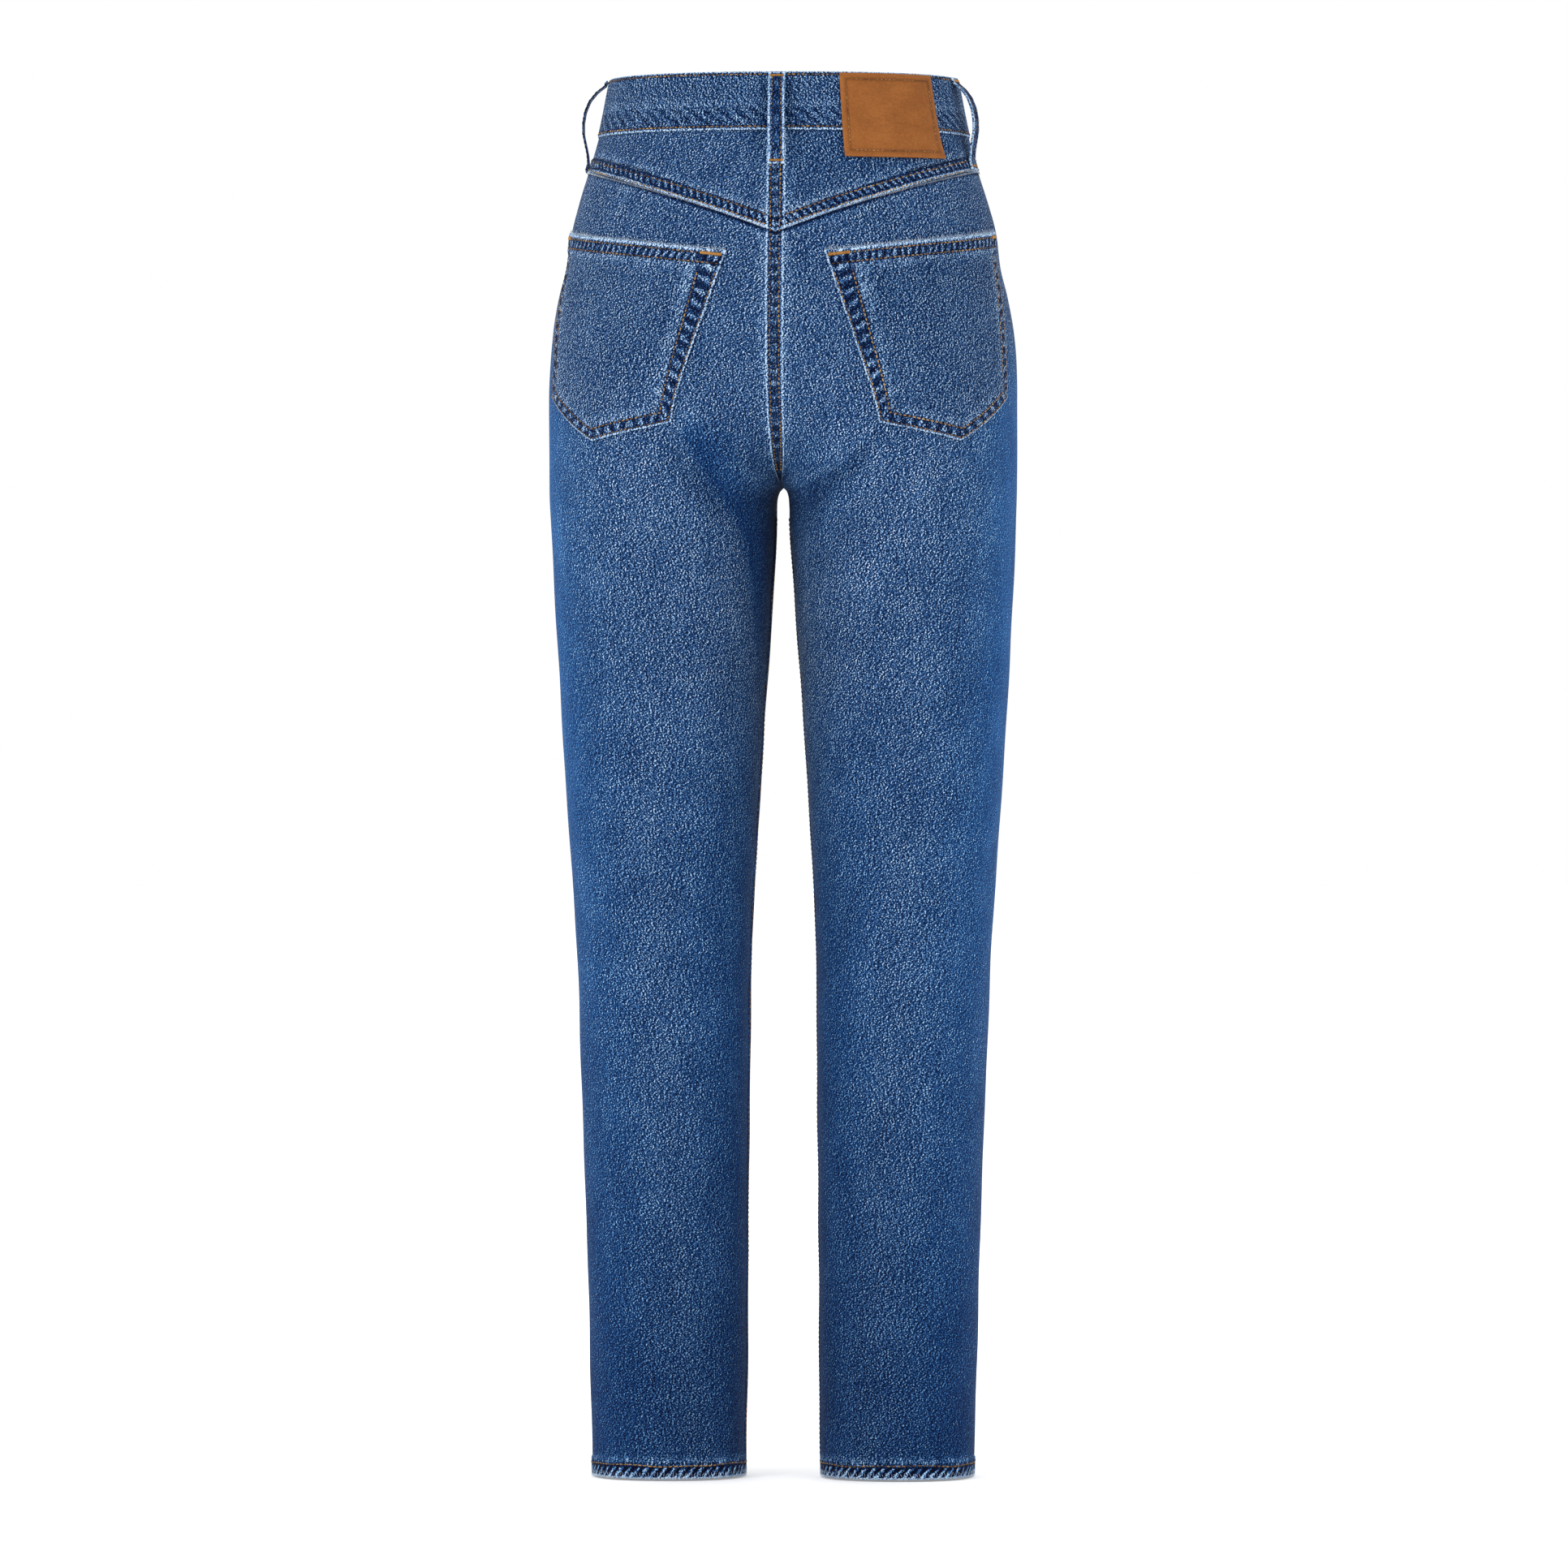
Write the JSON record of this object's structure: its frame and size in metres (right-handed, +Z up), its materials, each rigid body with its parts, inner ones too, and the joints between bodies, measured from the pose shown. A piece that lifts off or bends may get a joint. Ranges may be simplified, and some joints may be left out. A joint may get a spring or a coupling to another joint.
{
  "type": "mom jeans",
  "caption": "High-waisted tapered denim jeans, filled out as worn and hollow, with back pockets, belt loops, a V yoke and a plain waist patch.",
  "frame": {"origin": "centre of the waist, at half the waistband's height, where the wearer holds the jeans up", "axes": "+Z up, +Y towards the back of the jeans, +X towards the wearer's left"},
  "size_m": [0.3334, 0.2417, 0.9952],
  "materials": {
    "denim": "washed mid-blue twill denim with ochre sewing thread and pale worn edges",
    "patch": "smooth tan leather with a stitched border",
    "button": "aged brass, satin"
  },
  "bodies": {
    "root": {"waistband": "denim", "yoke_left": "denim", "yoke_right": "denim", "back_panel_left": "denim", "back_panel_right": "denim", "front_panel_left": "denim", "front_panel_right": "denim", "back_pocket_left": "denim", "back_pocket_right": "denim", "pocket_facing_left": "denim", "pocket_facing_right": "denim", "fly_shield": "denim", "belt_loop_back": "denim", "belt_loop_side_left": "denim", "belt_loop_side_right": "denim", "belt_loop_front_left": "denim", "belt_loop_front_right": "denim", "leather_patch": "patch", "waist_button": "button"}
  },
  "joints": []
}
